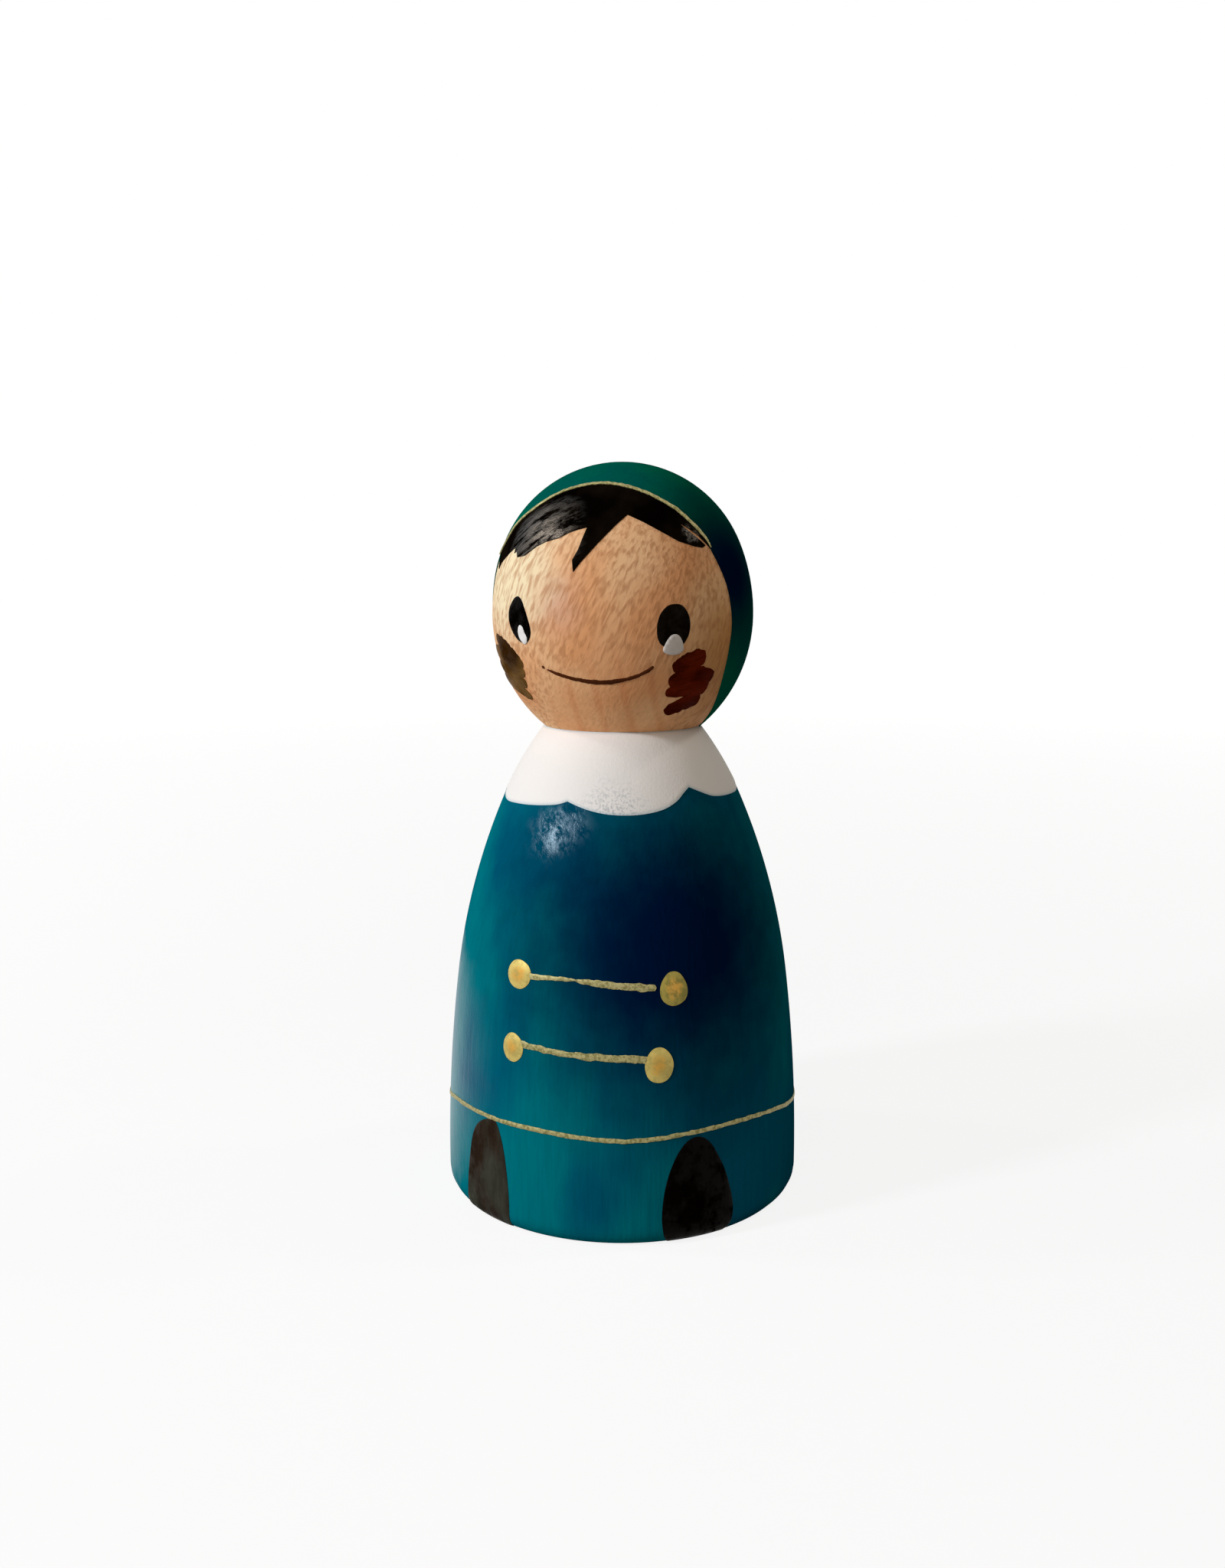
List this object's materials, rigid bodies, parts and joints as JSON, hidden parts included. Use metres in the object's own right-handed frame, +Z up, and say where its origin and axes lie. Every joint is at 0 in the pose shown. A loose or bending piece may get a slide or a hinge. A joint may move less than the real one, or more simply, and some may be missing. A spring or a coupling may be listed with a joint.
{
  "type": "peg doll",
  "caption": "Small turned wooden peg doll with a painted coat, scalloped collar, hood, hair and smiling face, standing on its flat foot.",
  "frame": {"origin": "centre of the flat foot, on the axis on which the body and the head were turned", "axes": "+Z up along the turning axis; the doll faces -Y; +X is to the right as the doll is seen from its front"},
  "size_m": [0.03, 0.03, 0.06],
  "materials": {
    "bare_wood": "satin",
    "dowel_wood": "matte",
    "teal_paint": "semi-gloss paint",
    "boot_paint": "semi-gloss paint",
    "white_paint": "satin paint",
    "gold_paint": "metallic paint",
    "black_paint": "gloss paint",
    "mouth_paint": "satin paint",
    "cheek_paint": "satin paint"
  },
  "bodies": {
    "root": {"body": "bare_wood", "head": "bare_wood", "neck_dowel": "dowel_wood", "coat": "teal_paint", "hem_line": "gold_paint", "left_boot": "boot_paint", "right_boot": "boot_paint", "collar": "white_paint", "upper_bar": "gold_paint", "lower_bar": "gold_paint", "upper_left_button": "gold_paint", "upper_right_button": "gold_paint", "lower_left_button": "gold_paint", "lower_right_button": "gold_paint", "hood": "teal_paint", "hood_trim": "gold_paint", "hair": "black_paint", "left_eye": "black_paint", "right_eye": "black_paint", "left_glint": "white_paint", "right_glint": "white_paint", "mouth": "mouth_paint", "left_cheek": "cheek_paint", "right_cheek": "cheek_paint"}
  },
  "joints": []
}
